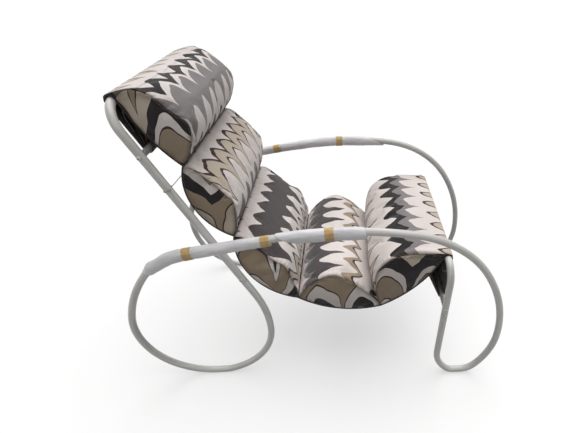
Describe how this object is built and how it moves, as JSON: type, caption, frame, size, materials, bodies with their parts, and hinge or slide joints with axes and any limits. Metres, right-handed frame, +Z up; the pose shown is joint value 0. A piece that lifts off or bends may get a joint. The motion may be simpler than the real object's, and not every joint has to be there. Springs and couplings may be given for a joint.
{
  "type": "steel lounge chair",
  "caption": "Low lounge chair with looped tubular steel side frames and a cloth sling that carries fat padded rolls; foam sleeves on the arms.",
  "frame": {"origin": "on the floor, under the middle of the chair", "axes": "+X the way the sitter faces, +Y the sitter's left, +Z up"},
  "size_m": [1.1002, 0.5816, 0.9165],
  "materials": {
    "tube_paint": "pale warm grey paint, satin",
    "bare_steel": "plain steel, worn",
    "roll_fabric": "cream cotton printed with rows of flame stitch in charcoal, grey and beige",
    "sling_cloth": "dark woven cloth, matt",
    "sleeve_foam": "white foam film, slightly translucent",
    "masking_tape": "tan crepe paper tape",
    "tie_cord": "thin twisted cord"
  },
  "bodies": {
    "root": {"back_hoop": "tube_paint", "front_hoop": "tube_paint", "rear_loop_left": "tube_paint", "rear_loop_right": "tube_paint", "front_loop_left": "tube_paint", "front_loop_right": "tube_paint", "head_rod": "bare_steel", "front_rod": "bare_steel", "back_spigot_left": "bare_steel", "back_spigot_right": "bare_steel", "arm_spigot_left": "bare_steel", "arm_spigot_right": "bare_steel", "leg_spigot_left": "bare_steel", "leg_spigot_right": "bare_steel", "back_joint_screw_left": "bare_steel", "back_joint_screw_right": "bare_steel", "leg_joint_screw_left": "bare_steel", "leg_joint_screw_right": "bare_steel", "head_rod_screw_left": "bare_steel", "head_rod_screw_right": "bare_steel", "front_rod_screw_left": "bare_steel", "front_rod_screw_right": "bare_steel", "head_roll": "roll_fabric", "back_roll": "roll_fabric", "lumbar_roll": "roll_fabric", "seat_roll": "roll_fabric", "knee_roll": "roll_fabric", "sling": "sling_cloth", "rear_arm_sleeve_left": "sleeve_foam", "rear_arm_sleeve_right": "sleeve_foam", "front_arm_sleeve_left": "sleeve_foam", "front_arm_sleeve_right": "sleeve_foam", "rear_tape_left": "masking_tape", "rear_tape_right": "masking_tape", "middle_tape_left": "masking_tape", "middle_tape_right": "masking_tape", "front_tape_left": "masking_tape", "front_tape_right": "masking_tape", "tie_cord_left": "tie_cord", "tie_cord_right": "tie_cord"}
  },
  "joints": []
}
